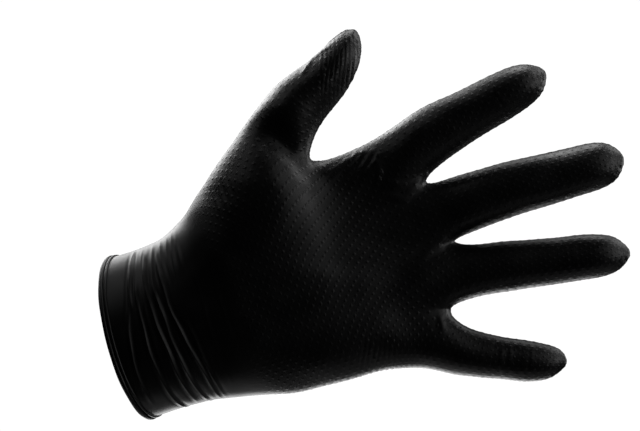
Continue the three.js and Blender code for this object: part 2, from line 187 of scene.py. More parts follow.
def middle_height(along):
    """The glove's middle plane: the cuff tilts back from the palm and bends into it."""
    start = cuff_length * bend_start
    end = cuff_length + palm_length * bend_end
    run = np.clip(along, start, end) - start
    return -math.tan(cuff_tilt) * (np.minimum(along, start) + run - run**2 / (2 * (end - start)))


def rim_share(along):
    return np.clip(1 - along / (cuff_length * rim_reach), 0, 1)


def plane_lean(along):
    return math.tan(cuff_tilt + rim_skew) * rim_share(along)


def body_ring(ulnar_x, radial_x, ulnar_z, radial_z, pad, back, evenness):
    """The thumb's side, the palm's columns, the little finger's side, the columns of the back"""
    power = ellipse_power + palm_power * evenness
    half = (radial_z - ulnar_z) / 2
    ring = []
    for i in range(body_corners):
        angle = 2 * math.pi * i / body_corners
        column = i - 1 if i < body_corners / 2 else body_corners - 1 - i
        if i % (body_corners // 2) == 0:
            across = round(math.cos(angle))
            depth = 0
        else:
            even = column_spread * (1 - 2 * column / palm_columns)
            across = math.cos(angle) + (even - math.cos(angle)) * evenness
            depth = (1 - abs(across) ** power) ** (1 / power)
        along = ulnar_x + (radial_x - ulnar_x) * (across + 1) / 2
        drop = -pad * depth if math.sin(angle) > 0 else back * depth
        roll = cuff_roll * rim_share(along)
        y = drop * math.cos(roll) + across * half * math.sin(roll)
        z = (ulnar_z + radial_z) / 2 + across * half * math.cos(roll) - drop * math.sin(roll)
        rise = rim_rise * rim_share(along) * (across + 1) / 2
        ring.append(add_corner((along + rise + y * plane_lean(along), middle_height(along) + y, z)))
    return ring


def cuff_ring(share):
    radial, ulnar, pad, back = (
        np.interp(share, cuff_sections[:, 0], cuff_sections[:, i]) for i in range(1, 5)
    )
    return body_ring(
        ulnar_x=share * cuff_length,
        radial_x=share * cuff_length,
        ulnar_z=-wrist_width / 2 * ulnar,
        radial_z=wrist_width / 2 * radial,
        pad=wrist_thickness / 2 * pad,
        back=wrist_thickness / 2 * back,
        evenness=0,
    )


def palm_ring(row, evenness):
    return body_ring(
        ulnar_x=cuff_length + palm_length * row["ulnar_along"],
        radial_x=cuff_length + palm_length * row["radial_along"],
        ulnar_z=-palm_width * row["ulnar"],
        radial_z=palm_width * row["radial"],
        pad=palm_thickness / 2 * row["pad"],
        back=palm_thickness / 2 * row["back"],
        evenness=evenness,
    )


def finger_frame(finger):
    """A finger's foot, its direction, the way to the thumb's side and the way to its pad"""
    foot_x = cuff_length + palm_length * finger["along"]
    foot = np.array((foot_x, middle_height(foot_x), palm_width * finger["across"]))
    spread, flex = math.radians(finger["spread"]), math.radians(finger["flex"])
    level = np.array((math.cos(spread), 0, math.sin(spread)))
    direction = level * math.cos(flex) - np.array((0, math.sin(flex), 0))
    side = np.array((-math.sin(spread), 0, math.cos(spread)))
    return foot, direction, side, np.cross(direction, side)


def finger_point(finger, along, across, deep):
    foot, direction, side, pad = finger_frame(finger)
    return foot + along * direction + across * side + deep * pad


def grow_finger(name, finger, start):
    """The tube of one finger, from the ring that it starts on to its closed tip"""
    ring = start
    width = finger["width"]
    for values in finger_sections[name]:
        row = dict(zip(section_columns, values))
        before, ring = ring, []
        for i in range(finger_corners):
            angle = 2 * math.pi * (i + 1) / finger_corners
            rise = row["pad"] if math.sin(angle) > 0 else row["back"]
            across = width * (row["shift"] + row["half"] / ring_draw * math.cos(angle))
            deep = width * rise / ring_draw * math.sin(angle)
            ring.append(add_corner(finger_point(finger, row["along"] * finger["length"], across, deep)))
        join_rings(before, ring)
    reach = finger["length"] * (1 + tip_reach)
    tip = add_corner(finger_point(finger, reach, width * tip_shifts[name], 0))
    for i in range(0, finger_corners, 2):
        faces.append((ring[i - 1], ring[i], ring[i + 1], tip))


def knuckle_row():
    """The ring where the fingers start. Neighbours share the corners of the web between them."""
    row = list(fingers.values())

    def corner(i, side, deep):
        half = row[i]["width"] / 2
        return finger_point(row[i], 0, side * half * web_side, deep * half)

    def line(deep):
        points = [corner(0, 1, deep * edge_depth)]
        for i in range(4):
            points.append(corner(i, 0, deep * finger_depth))
            if i < 3:
                own, other = corner(i, -1, deep * web_depth), corner(i + 1, 1, deep * web_depth)
                points.append((own + other) / 2)
            else:
                points.append(corner(i, -1, deep * edge_depth))
        return [add_corner(point) for point in points]

    pads, backs = line(1), line(-1)
    webs = [add_corner(finger_point(row[0], 0, row[0]["width"] / 2 * edge_side, 0))]
    for i in range(3):
        web = (corners[pads[2 * i + 2]] + corners[backs[2 * i + 2]]) / 2
        web[0] += palm_length * row[i]["web"]
        webs.append(add_corner(web))
    webs.append(add_corner(finger_point(row[3], 0, -row[3]["width"] / 2 * edge_side, 0)))
    return pads, backs, webs


rings = [cuff_ring(i / cuff_rows) for i in range(cuff_rows + 1)]
rings += [palm_ring(row, (i + 1) / len(palm_sections)) for i, row in enumerate(palm_sections)]
outer, middle, web = rings[cuff_rows + 1:][thumb_rows]
pads, backs, webs = knuckle_row()
rings.append([webs[0], *pads, webs[4], *backs[::-1]])
for near, far in zip(rings, rings[1:]):
    join_rings(near, far)

# The four faces round the middle corner of the palm's side make way for the thumb.
faces = [face for face in faces if middle[0] not in face]
grow_finger(
    "thumb",
    thumb,
    [outer[1], middle[1], web[1], web[0], web[-1], middle[-1], outer[-1], outer[0]],
)
for i, (name, finger) in enumerate(fingers.items()):
    start = [*pads[2 * i:2 * i + 3], webs[i + 1], *backs[2 * i:2 * i + 3][::-1], webs[i]]
    grow_finger(name, finger, start)

used = sorted({corner for face in faces for corner in face})
place = {corner: i for i, corner in enumerate(used)}
cage_points = np.array([corners[corner] for corner in used])
cage_quads = np.array([[place[corner] for corner in face] for face in faces])

# Each face of the cage has a square of its own on a sheet, by which the grip pattern finds it.
sheet_columns = 32
levels = 4
cage = bpy.data.meshes.new("cage")
cage.from_pydata(cage_points.tolist(), [], cage_quads.tolist())
numbers = np.arange(len(cage_quads))
squares = np.stack([numbers % sheet_columns, numbers // sheet_columns], axis=1)
square_corners = np.array([(0, 0), (1, 0), (1, 1), (0, 1)])
sheet = cage.uv_layers.new(name="sheet")
sheet.data.foreach_set("uv", (squares[:, None] + square_corners).ravel().astype(np.float32))
cage_object = bpy.data.objects.new("cage", cage)
bpy.context.scene.collection.objects.link(cage_object)
smoothing = cage_object.modifiers.new("smoothing", "SUBSURF")
smoothing.levels = smoothing.render_levels = levels
smoothing.uv_smooth = "NONE"
evaluated = cage_object.evaluated_get(bpy.context.evaluated_depsgraph_get())
smooth_mesh = bpy.data.meshes.new_from_object(evaluated)
bpy.data.objects.remove(cage_object)

points = np.zeros(len(smooth_mesh.vertices) * 3, np.float32)
smooth_mesh.vertices.foreach_get("co", points)
points = points.reshape(-1, 3).astype(float)
quads = np.zeros(len(smooth_mesh.loops), np.int32)
smooth_mesh.loops.foreach_get("vertex_index", quads)
quads = quads.reshape(-1, 4)
sheet_places = np.zeros(len(smooth_mesh.loops) * 2, np.float32)
smooth_mesh.uv_layers["sheet"].data.foreach_get("uv", sheet_places)
sheet_places = sheet_places.reshape(-1, 4, 2).astype(float)


def normals_of(points, quads):
    a, b, c, d = (points[quads[:, i]] for i in range(4))
    across = np.cross(c - a, d - b)
    normals = np.zeros_like(points)
    for i in range(4):
        np.add.at(normals, quads[:, i], across)
    return normals / np.linalg.norm(normals, axis=1, keepdims=True)


def bell(distance, width):
    return np.exp(-((distance / width) ** 2))


def ease(value, low, high):
    """0 below low, 1 above high and smooth between them"""
    share = np.clip((value - low) / (high - low), 0, 1)
    return share * share * (3 - 2 * share)


# The film rises over the pads of the palm and the knuckles on the back, and sinks in its hollow.
# Places are shares of the palm's length and width, the height is a share of its thickness.
mounds = [
    dict(along=0.06, across=0.27, spread=0.2, height=0.08),
    dict(along=0.27, across=0.45, spread=0.24, height=0.15),
    dict(along=0.08, across=-0.27, spread=0.2, height=0.06),
    dict(along=0.36, across=-0.36, spread=0.22, height=0.07),
    dict(along=0.69, across=0.07, spread=0.34, height=-0.18),
    dict(along=0.88, across=0.24, spread=0.13, height=0.04),
    dict(along=0.88, across=-0.2, spread=0.15, height=0.05),
]
knuckle_height = 2
knuckle_spread = 9
knuckle_setback = 0.1


def body_swell(points, normals):
    out = np.zeros(len(points))
    along = (points[:, 0] - cuff_length) / palm_length
    across = points[:, 2] / palm_width
    front = np.maximum(0, -normals[:, 1])
    for mound in mounds:
        far = np.hypot(along - mound["along"], across - mound["across"])
        out += palm_thickness * mound["height"] * bell(far, mound["spread"]) * front
    for finger in fingers.values():
        far = np.hypot(
            palm_length * (along - finger["along"] + knuckle_setback),
            palm_width * (across - finger["across"]),
        )
        out += knuckle_height * bell(far, knuckle_spread) * np.maximum(0, normals[:, 1])
    return out


# The folds pressed round the wrist, where the film is gathered between the cuff and the palm.
# The turn round the wrist is in degrees, 0 at the thumb's side and 90 at the palm's middle. Each
# fold is a narrow crest that runs from one turn to another, with a valley on either side. Its
# distance from the rim is the middle, and the lean more at the thumb's side, in millimetres.
wrist_folds = [
    dict(middle=9.6, lean=4.2, start=8, end=142, height=0.55),
    dict(middle=12.4, lean=1.6, start=6, end=70, height=0.22),
    dict(middle=15.0, lean=0.3, start=48, end=172, height=0.55),
    dict(middle=17.6, lean=0.4, start=10, end=120, height=0.24),
    dict(middle=20.4, lean=-0.9, start=20, end=160, height=0.62),
    dict(middle=23.6, lean=-1.6, start=50, end=172, height=0.6),
    dict(middle=27.8, lean=-2.8, start=22, end=165, height=0.62),
    dict(middle=31.0, lean=-2.0, start=95, end=166, height=0.3),
    dict(middle=39.0, lean=0.5, start=50, end=150, height=0.12),
    dict(middle=46.0, lean=0.8, start=45, end=140, height=0.1),
    dict(middle=22.6, lean=0.5, start=8, end=44, height=0.25),
    dict(middle=27.0, lean=0.5, start=8, end=38, height=0.3),
    dict(middle=29.4, lean=0.8, start=8, end=42, height=0.3),
    dict(middle=31.8, lean=1.0, start=8, end=38, height=0.25),
    dict(middle=34.6, lean=1.0, start=8, end=34, height=0.2),
    dict(middle=11.0, lean=2.0, start=-150, end=-35, height=0.4),
    dict(middle=17.5, lean=1.0, start=-140, end=-20, height=0.5),
    dict(middle=24.0, lean=-1.0, start=-160, end=-40, height=0.5),
    dict(middle=30.5, lean=-1.5, start=-150, end=-30, height=0.4),
    dict(middle=38.0, lean=0.5, start=-140, end=-50, height=0.2),
]
fold_crest = 0.42
fold_valley = 0.7
palm_valley_share = 0.5
rim_valley_share = 0.35
fold_fade = 12
fold_unevenness = 0.15
uneven_waves = 5
# How far a fold strays from its line, the waves of that round the wrist, and their shift
fold_wander = ((0.3, 3, 2.1), (0.14, 8, 4.3))


def from_rim(points):
    lean = plane_lean(points[:, 0])
    return points[:, 0] - (points[:, 1] - middle_height(points[:, 0])) * lean


def wrist_swell(points):
    rim_distance = from_rim(points)
    turn = np.arctan2(-(points[:, 1] - middle_height(points[:, 0])), points[:, 2])
    degrees = np.degrees(turn)
    out = np.zeros(len(points))
    for i, fold in enumerate(wrist_folds):
        wander = sum(far * np.sin(waves * turn + shift * i) for far, waves, shift in fold_wander)
        off = rim_distance - fold["middle"] - fold["lean"] * np.cos(turn) - wander
        crest = 1 / (1 + (off / fold_crest) ** 2)
        palm_valley = palm_valley_share * bell(off - 2 * fold_valley, fold_valley)
        rim_valley = rim_valley_share * bell(off + 2 * fold_valley, fold_valley)
        begun = ease(degrees, fold["start"] - fold_fade, fold["start"] + fold_fade)
        ended = ease(degrees, fold["end"] - fold_fade, fold["end"] + fold_fade)
        uneven = 1 - fold_unevenness * (1 - np.sin(uneven_waves * turn + 3 * i))
        out += fold["height"] * uneven * begun * (1 - ended) * (crest - palm_valley - rim_valley)
    return out


# Creases drawn across the film where it is pulled, seen from the palm (-1) or from the back (1).
# Each is a narrow crest along a line of places, from the web or edge that it starts at.
creases = [
    dict(path=((117.1, 43.1), (109.2, 40.5), (101.8, 37.9)), side=-1, height=0.5, width=0.9),
    dict(path=((121.6, 44.3), (114.7, 40.9), (109.2, 38.2), (103.3, 35.5)), side=-1, height=0.55, width=0.9),
    dict(path=((124.4, 44.2), (118.4, 40.4), (114.7, 38.6), (109.8, 36.9)), side=-1, height=0.55, width=0.9),
    dict(path=((127.2, 43.2), (121.5, 38.5), (116.8, 35.8)), side=-1, height=0.5, width=0.9),
    dict(path=((130.1, 40.8), (125, 37.2), (118.9, 32.8)), side=-1, height=0.45, width=0.9),
    dict(path=((126.6, 38.8), (126.5, 32), (124.9, 28.8), (122.3, 25.2)), side=-1, height=0.5, width=1.1),
    dict(path=((147.4, 24.6), (139.5, 20.5), (133.1, 18.1), (123.4, 22)), side=-1, height=0.7, width=1.3),
    dict(path=((144.3, 21.1), (134.4, 21.8), (127.9, 26.9), (123.9, 31.1)), side=-1, height=0.35, width=2.4),
    dict(path=((145.5, -5.6), (136.1, -7.4), (128.4, -9.7)), side=-1, height=0.6, width=1.1),
    dict(path=((134.6, -34), (130.7, -35.9), (129.3, -43.7)), side=-1, height=0.6, width=1.3),
    dict(path=((151, -56.9), (148.3, -63.3), (147.7, -71.4)), side=-1, height=0.18, width=0.8),
    dict(path=((154.6, -57.2), (152, -64.6), (151.3, -71.7)), side=-1, height=0.14, width=0.8),
    dict(path=((108.1, 81.8), (116.2, 87.7), (124.5, 90.3), (127.9, 92.3)), side=-1, height=0.6, width=0.8),
    dict(path=((94.7, 45), (101, 51.1), (109.5, 58.2)), side=-1, height=0.25, width=1.8),
    dict(path=((87.4, 43.9), (96.7, 53.5), (108.7, 64)), side=-1, height=0.2, width=1.8),
    dict(path=((148, 22), (140, 20), (133, 20)), side=1, height=0.7, width=1.6),
    dict(path=((151, -8), (142, -7), (136, -8)), side=1, height=0.7, width=1.6),
    dict(path=((138, -36), (131, -34), (124, -34)), side=1, height=0.7, width=1.6),
    dict(path=((108, 48), (98, 43), (90, 38)), side=1, height=0.6, width=1.8),
    dict(path=((122, 46), (112, 40), (104, 33)), side=1, height=0.4, width=1.4),
]
crease_begun = 0.1
crease_fading = 0.6
crease_facing = (-0.15, 0.35)


def crease_swell(points, normals):
    out = np.zeros(len(points))
    place = points[:, [0, 2]]
    for crease in creases:
        path = np.array(crease["path"], float)
        ways = np.diff(path, axis=0)
        lengths = np.linalg.norm(ways, axis=1)
        off = np.full(len(points), np.inf)
        share = np.zeros(len(points))
        for i, (start, way, length) in enumerate(zip(path, ways, lengths)):
            own = np.clip((place - start) @ way / length**2, 0, 1)
            far = np.linalg.norm(place - start - own[:, None] * way, axis=1)
            closer = far < off
            off = np.where(closer, far, off)
            share = np.where(closer, (lengths[:i].sum() + own * length) / lengths.sum(), share)
        taper = ease(share, 0, crease_begun) * (1 - ease(share, crease_fading, 1))
        facing = ease(crease["side"] * normals[:, 1], *crease_facing)
        out += crease["height"] * bell(off, crease["width"]) * taper * facing
    return out


# Fine pleats side by side, where the film is drawn together: along the palm's outer edge, and
# lengthwise on the thumb's inner side.
pleats = [
    dict(middle=(99, -45), turn=66, pitch=2.2, count=9, reach=8, side=-1, height=0.16),
    dict(middle=(78, -44), turn=66, pitch=2.4, count=8, reach=7, side=-1, height=0.07),
    dict(middle=(125, 78), turn=71, pitch=1.8, count=12, reach=13, side=-1, height=0.14),
    dict(middle=(60, 46), turn=100, pitch=3.4, count=4, reach=9, side=-1, height=0.07),
    dict(middle=(100, -40), turn=80, pitch=3.2, count=9, reach=12, side=1, height=0.2),
]
pleat_fading = 0.7
pleat_sway = 0.8
sway_length = 6
pleat_facing = (-0.3, 0.2)


def pleat_swell(points, normals):
    out = np.zeros(len(points))
    for pleat in pleats:
        turn = math.radians(pleat["turn"])
        x, z = points[:, 0] - pleat["middle"][0], points[:, 2] - pleat["middle"][1]
        along = x * math.cos(turn) + z * math.sin(turn)
        across = z * math.cos(turn) - x * math.sin(turn)
        half = pleat["pitch"] * pleat["count"] / 2
        fade = bell(along, pleat["reach"]) * (1 - ease(np.abs(across), half * pleat_fading, half))
        sway = across + pleat_sway * np.sin(along / sway_length)
        wave = np.cos(2 * math.pi * sway / pleat["pitch"])
        facing = ease(pleat["side"] * normals[:, 1], *pleat_facing)
        out += pleat["height"] * wave * fade * facing
    return out


# On each finger the film bridges the joints in a few crosswise wrinkles, bunches a little at the
# tip and is lifted in a low flat where a nail lies, turned from the back to the thumb's side.
joints = {
    "index": dict(places=(0.36, 0.68), nail_turn=0),
    "middle": dict(places=(0.36, 0.68), nail_turn=0),
    "ring": dict(places=(0.36, 0.68), nail_turn=0),
    "little": dict(places=(0.42, 0.72), nail_turn=-10),
    "thumb": dict(places=(0.3, 0.58), nail_turn=62),
}
joint_wrinkles = 3
joint_pitch = 2.6
joint_height = 0.1
joint_width = 0.9
joint_sway = 0.7
tip_pitch = 2.3
tip_height = 0.08
tip_middle = 3
tip_spread = 5
nail_lift = 0.4
nail_length = 13
nail_half_width = 0.29
nail_side_slope = (-1.2, 0.6)
nail_tip_slope = (1.5, 3.5)
nail_root_slope = (-1, 2)
# Where a finger's own wrinkles set in, in shares of its length, and how far they reach round it
# in shares of its width
finger_begun = (0.12, 0.25)
finger_round = (0.62, 0.7)
finger_shift = 0.03
finger_radius = 0.42


def finger_swell(points, name, finger):
    foot, direction, side, pad = finger_frame(finger)
    relative = points - foot
    along, across, deep = relative @ direction, relative @ side, relative @ pad
    length, width = finger["length"], finger["width"]
    here = ease(along, *(share * length for share in finger_begun))
    far = np.hypot(across - finger_shift * width, deep)
    here *= 1 - ease(far, *(share * width for share in finger_round))
    turn = np.arctan2(across, -deep)
    out = np.zeros(len(points))
    for n, share in enumerate(joints[name]["places"]):
        for i in range(joint_wrinkles):
            step = (i - (joint_wrinkles - 1) / 2) * joint_pitch
            off = along - share * length - step + joint_sway * np.sin(2 * turn + i + n)
            uneven = 0.55 + 0.45 * np.cos(turn + 2 * i)
            out += joint_height * bell(off, joint_width) * uneven
    from_tip = length - along
    ripple = np.sin(2 * math.pi * from_tip / tip_pitch + 2 * np.sin(3 * turn))
    uneven = 0.6 + 0.4 * np.sin(2 * turn)
    out += tip_height * ripple * bell(from_tip - tip_middle, tip_spread) * uneven
    nail = np.radians(joints[name]["nail_turn"])
    sideways = np.abs(np.angle(np.exp(1j * (turn - nail)))) * finger_radius * width
    side_slope = (nail_half_width * width + edge for edge in nail_side_slope)
    root_slope = (nail_length + edge for edge in nail_root_slope)
    across_nail = 1 - ease(sideways, *side_slope)
    along_nail = ease(from_tip, *nail_tip_slope) * (1 - ease(from_tip, *root_slope))
    out += nail_lift * across_nail * along_nail
    return out * here


# The film's slow unevenness. Its wave lengths are odd ones, so that no place repeats another.
broad_height = 0.22
small_height = 0.12
swell_begun = (10, 30)


def gentle_swell(points):
    x, y, z = points.T
    broad = np.sin(x / 9 + 1.7 * np.sin(z / 17)) * np.sin(z / 8 + 1.3 * np.sin(y / 9))
    small = np.sin(x / 4.1 + 2 * np.sin(z / 7)) * np.sin(z / 5.3 + y / 6)
    return (broad_height * broad + small_height * small) * ease(x, *swell_begun)


normals = normals_of(points, quads)
swell = body_swell(points, normals) + gentle_swell(points)
swell += wrist_swell(points) + crease_swell(points, normals) + pleat_swell(points, normals)
for name, finger in {**fingers, "thumb": thumb}.items():
    swell += finger_swell(points, name, finger)
film_points = points + normals * swell[:, None]
film_normals = normals_of(film_points, quads)


# Nitrile rubber, dipped: a soft black rubber film that dries against a blasted form.
# It is satin, with a faint grain from the form and broad weak highlights.
def linear(hex_value):
    """The linear colour of an sRGB value such as 0x1C1C1E"""
    parts = [((hex_value >> shift) & 255) / 255 for shift in (16, 8, 0)]
    return [p / 12.92 if p <= 0.04045 else ((p + 0.055) / 1.055) ** 2.4 for p in parts] + [1.0]


def add_node(tree, kind, settings=(), links=()):
    """A node with its settings, by attribute or by input, and its input's links"""
    node = tree.nodes.new(kind)
    for name, value in dict(settings).items():
        if isinstance(name, str) and hasattr(node, name) and name not in node.inputs:
            setattr(node, name, value)
        else:
            node.inputs[name].default_value = value
    for name, output in dict(links).items():
        tree.links.new(output, node.inputs[name])
    return node


grain_pitch = 0.35
cloud_pitch = 14


def nitrile():
    material = bpy.data.materials.new("black_nitrile_dipped")
    material.use_nodes = True
    tree = material.node_tree
    tree.nodes.clear()
    place = add_node(tree, "ShaderNodeTexCoord").outputs["Object"]
    grain = add_node(
        tree, "ShaderNodeTexNoise", {"Scale": 1000 / grain_pitch, "Detail": 2.0}, {"Vector": place}
    )
    clouds = add_node(
        tree, "ShaderNodeTexNoise", {"Scale": 1000 / cloud_pitch, "Detail": 3.0}, {"Vector": place}
    )
    rough = add_node(
        tree,
        "ShaderNodeMapRange",
        {"From Min": 0.3, "From Max": 0.7, "To Min": 0.34, "To Max": 0.46},
        {"Value": clouds.outputs["Fac"]},
    )
    colour = add_node(
        tree,
        "ShaderNodeMix",
        {"data_type": "RGBA", 6: linear(0x0B0B0C), 7: linear(0x121213)},
        {0: clouds.outputs["Fac"]},
    )
    bump = add_node(
        tree,
        "ShaderNodeBump",
        {"Strength": 0.25, "Distance": 0.00003},
        {"Height": grain.outputs["Fac"]},
    )
    shader = add_node(
        tree,
        "ShaderNodeBsdfPrincipled",
        {"IOR": 1.52, "Metallic": 0.0},
        {
            "Base Color": colour.outputs[2],
            "Roughness": rough.outputs[0],
            "Normal": bump.outputs["Normal"],
        },
    )
    add_node(tree, "ShaderNodeOutputMaterial", {}, {"Surface": shader.outputs["BSDF"]})
    return material


rubber = nitrile()

# The film: the whole glove but its rim, one dipped skin of black nitrile rubber.
# The outer skin is drawn as two sheets that meet along the glove's sides, the inner skin as one.
# The real film is 0.15 to 0.2 mm, and it is drawn at 0.4 mm so that both its faces stay clear.
film_thickness = 0.4
lining_step = 2
millimetre = 0.001


def fine_faces():
    """The fine face in each cell of each cage face's square, with its corners in sheet order"""
    cells = 2**levels
    middles = sheet_places.mean(axis=1)
    column = np.floor(middles[:, 0] * cells).astype(int)
    row = np.floor(middles[:, 1] * cells).astype(int)
    number = (row // cells) * sheet_columns + column // cells
    table = np.zeros((len(cage_quads), cells, cells), int)
    table[number, column % cells, row % cells] = np.arange(len(quads))
    right = sheet_places[:, :, 0] > middles[:, None, 0]
    upper = sheet_places[:, :, 1] > middles[:, None, 1]
    order = np.argsort(right + 2 * upper, axis=1)
    return table, np.take_along_axis(quads, order, axis=1)


def skin(name, points, normals, faces):
    """One sheet of the film, shaded by the whole skin's own normals so that its edges don't show"""
    used, places = np.unique(faces, return_inverse=True)
    mesh = bpy.data.meshes.new(name)
    mesh.from_pydata((points[used] * millimetre).tolist(), [], places.reshape(faces.shape).tolist())
    mesh.shade_smooth()
    mesh.normals_split_custom_set_from_vertices(normals[used].tolist())
    mesh.materials.append(rubber)
    sheet_object = bpy.data.objects.new(name, mesh)
    bpy.context.scene.collection.objects.link(sheet_object)
    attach(sheet_object, "root")
    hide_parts("glove")


face_table, ordered_faces = fine_faces()
a, b, c, d = (cage_points[cage_quads[:, i]] for i in range(4))
palm_side = np.cross(c - a, d - b)[:, 1] < 0
for name, side in (("palm_film", palm_side), ("back_film", ~palm_side)):
    skin(name, film_points, film_normals, quads[face_table[side].ravel()])

last = lining_step - 1
low_left = ordered_faces[face_table[:, ::lining_step, ::lining_step]][..., 0]
low_right = ordered_faces[face_table[:, last::lining_step, ::lining_step]][..., 1]
up_left = ordered_faces[face_table[:, ::lining_step, last::lining_step]][..., 2]
up_right = ordered_faces[face_table[:, last::lining_step, last::lining_step]][..., 3]
lining_faces = np.stack([low_left, up_left, up_right, low_right], axis=-1).reshape(-1, 4)
lining_points = film_points - film_normals * film_thickness
skin("film_lining", lining_points, -film_normals, lining_faces)

# The bead: the film's edge is rolled on itself at the rim while it is still wet.
# It is a slightly uneven roll of the same rubber, with a thinner turn beside it on the cuff.
bead_diameter = 2.4
bead_stand = 0.3
turn_diameter = 1.25
turn_stand = 0.25
turn_setback = 1.35
bead_sides = 12
# The share by which the rolls swell, the waves of that round the rim, and their shift
bead_waves = ((0.05, 7, 0), (0.04, 12, 1))


def rim_loop(quads):
    """The open edge's corners in their running order"""
    ends = np.stack([quads, np.roll(quads, -1, axis=1)], axis=2).reshape(-1, 2)
    keys = np.sort(ends, axis=1)
    _, inverse, count = np.unique(keys, axis=0, return_inverse=True, return_counts=True)
    after = dict(ends[count[inverse.ravel()] == 1].tolist())
    loop = [next(iter(after))]
    while after[loop[-1]] != loop[0]:
        loop.append(after[loop[-1]])
    return loop


def roll(hearts, radii, leaving, away, first):
    """The points and the faces of one roll round the rim, numbered from the first"""
    count = len(hearts)
    points, faces = [], []
    for i in range(bead_sides):
        angle = 2 * math.pi * i / bead_sides
        points.append(hearts + radii[:, None] * (math.cos(angle) * leaving + math.sin(angle) * away))
        side = (i + 1) % bead_sides
        for j in range(count):
            step = (j + 1) % count
            quad = (i * count + j, side * count + j, side * count + step, i * count + step)
            faces.append([first + corner for corner in quad])
    return np.concatenate(points), faces


loop = rim_loop(quads)
leaving = np.array((-math.cos(cuff_tilt), math.sin(cuff_tilt), 0))
away = film_normals[loop] - (film_normals[loop] @ leaving)[:, None] * leaving
away /= np.linalg.norm(away, axis=1, keepdims=True)
turns = np.linspace(0, 2 * math.pi, len(loop), endpoint=False)
uneven = 1 + sum(share * np.sin(waves * turns + shift) for share, waves, shift in bead_waves)
edge_line = film_points[loop] - away * film_thickness / 2
bead_points, bead_faces = roll(
    edge_line + leaving * bead_diameter * bead_stand,
    bead_diameter / 2 * uneven,
    leaving,
    away,
    0,
)
turn_points, turn_faces = roll(
    edge_line - leaving * turn_setback + away * turn_diameter * turn_stand,
    turn_diameter / 2 * (2 - uneven),
    leaving,
    away,
    len(bead_points),
)
bead_mesh = bpy.data.meshes.new("rolled_bead")
all_points = np.concatenate([bead_points, turn_points]) * millimetre
bead_mesh.from_pydata(all_points.tolist(), [], bead_faces + turn_faces)
bead_mesh.shade_smooth()
bead_mesh.materials.append(rubber)
bead = bpy.data.objects.new("rolled_bead", bead_mesh)
bpy.context.scene.collection.objects.link(bead)
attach(bead, "root")
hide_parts("glove")

# The grip: raised diamonds moulded all over the glove, from the wrist to the fingertips.
# They stand in staggered rows, about 4.0 mm apart along the glove and 3.7 mm across it, and run
# out at the wrist. Each is a low pyramid of the film itself, with a flattened point.
half_pitch_around = 1.85
half_pitch_along = 2.0
diamond_length = 0.6
diamond_width = 0.54
diamond_height = 0.13
diamond_flat = 0.16
diamond_sunk = 0.03
grip_start = 43
grip_full = 54
least_strength = 0.08
evening_rounds = 60
evening_pull = 0.8


def strip_counts():
    """How many steps of the pattern each cage edge takes: opposite edges take the same"""
    ends = np.stack([cage_quads, np.roll(cage_quads, -1, axis=1)], axis=2)
    keys, edge = np.unique(np.sort(ends.reshape(-1, 2), axis=1), axis=0, return_inverse=True)
    edge = edge.reshape(-1, 4)
    strip = np.arange(len(keys))
    changed = True
    while changed:
        before = strip.copy()
        for a, b in ((0, 2), (1, 3)):
            low = np.minimum(strip[edge[:, a]], strip[edge[:, b]])
            np.minimum.at(strip, edge[:, a], low)
            np.minimum.at(strip, edge[:, b], low)
        changed = not np.array_equal(before, strip)
    lengths = np.linalg.norm(film_points[keys[:, 0]] - film_points[keys[:, 1]], axis=1)
    around = np.zeros(len(keys), bool)
    around[edge[:, [0, 2]].ravel()] = True
    counts = np.zeros(len(keys), int)
    for name in np.unique(strip):
        own = strip == name
        pitch = half_pitch_around if around[own].mean() > 0.5 else half_pitch_along
        counts[own] = max(2, round(float(np.mean(lengths[own])) / pitch))
    return keys, edge, counts


def corner_colours(keys, counts):
    """0 or 1 for each cage corner, so that the staggered rows meet across every face"""
    near = {}
    for (a, b), count in zip(keys.tolist(), counts.tolist()):
        near.setdefault(a, []).append((b, count))
        near.setdefault(b, []).append((a, count))
    colour = {0: 0}
    waiting = [0]
    while waiting:
        corner = waiting.pop()
        for other, count in near[corner]:
            if other not in colour:
                colour[other] = (colour[corner] + count) % 2
                waiting.append(other)
    return colour


def sheet_to_film(number, u, v):
    """The film's points at places in the cage faces' squares"""
    cells = 2**levels
    column = np.minimum((u * cells).astype(int), cells - 1)
    row = np.minimum((v * cells).astype(int), cells - 1)
    low_left, low_right, up_left, up_right = ordered_faces[face_table[number, column, row]].T
    s, t = (u * cells - column)[:, None], (v * cells - row)[:, None]
    low = film_points[low_left] * (1 - s) + film_points[low_right] * s
    high = film_points[up_left] * (1 - s) + film_points[up_right] * s
    return low * (1 - t) + high * t


def half_step_net():
    """A net of half steps over the whole film: its knots, their colours, and each face's knots"""
    keys, edge, counts = strip_counts()
    colours = corner_colours(keys, counts)
    names = {}
    places, knot_colours, grids = [], [], []

    def knot(number, quad, i, j, across, along):
        on_u, on_v = i in (0, across), j in (0, along)
        low, high = (quad[0], quad[3]) if i == 0 else (quad[1], quad[2])
        step, steps = j, along
        if not on_u and on_v:
            low, high = (quad[0], quad[1]) if j == 0 else (quad[3], quad[2])
            step, steps = i, across
        if on_u and on_v:
            name = ("corner", high if j == along else low)
        elif on_u or on_v:
            name = (low, high, step) if low < high else (high, low, steps - step)
        else:
            name = ("inside", number, i, j)
        if name not in names:
            names[name] = len(names)
            places.append((number, i / across, j / along))
            knot_colours.append((colours[quad[0]] + i + j) % 2)
        return names[name]

    for number, quad in enumerate(cage_quads.tolist()):
        across, along = counts[edge[number, 0]], counts[edge[number, 1]]
        grids.append(np.array([
            [knot(number, quad, i, j, across, along) for j in range(along + 1)]
            for i in range(across + 1)
        ]))
    number, u, v = np.array(places).T
    return sheet_to_film(number.astype(int), u, v), np.array(knot_colours), grids


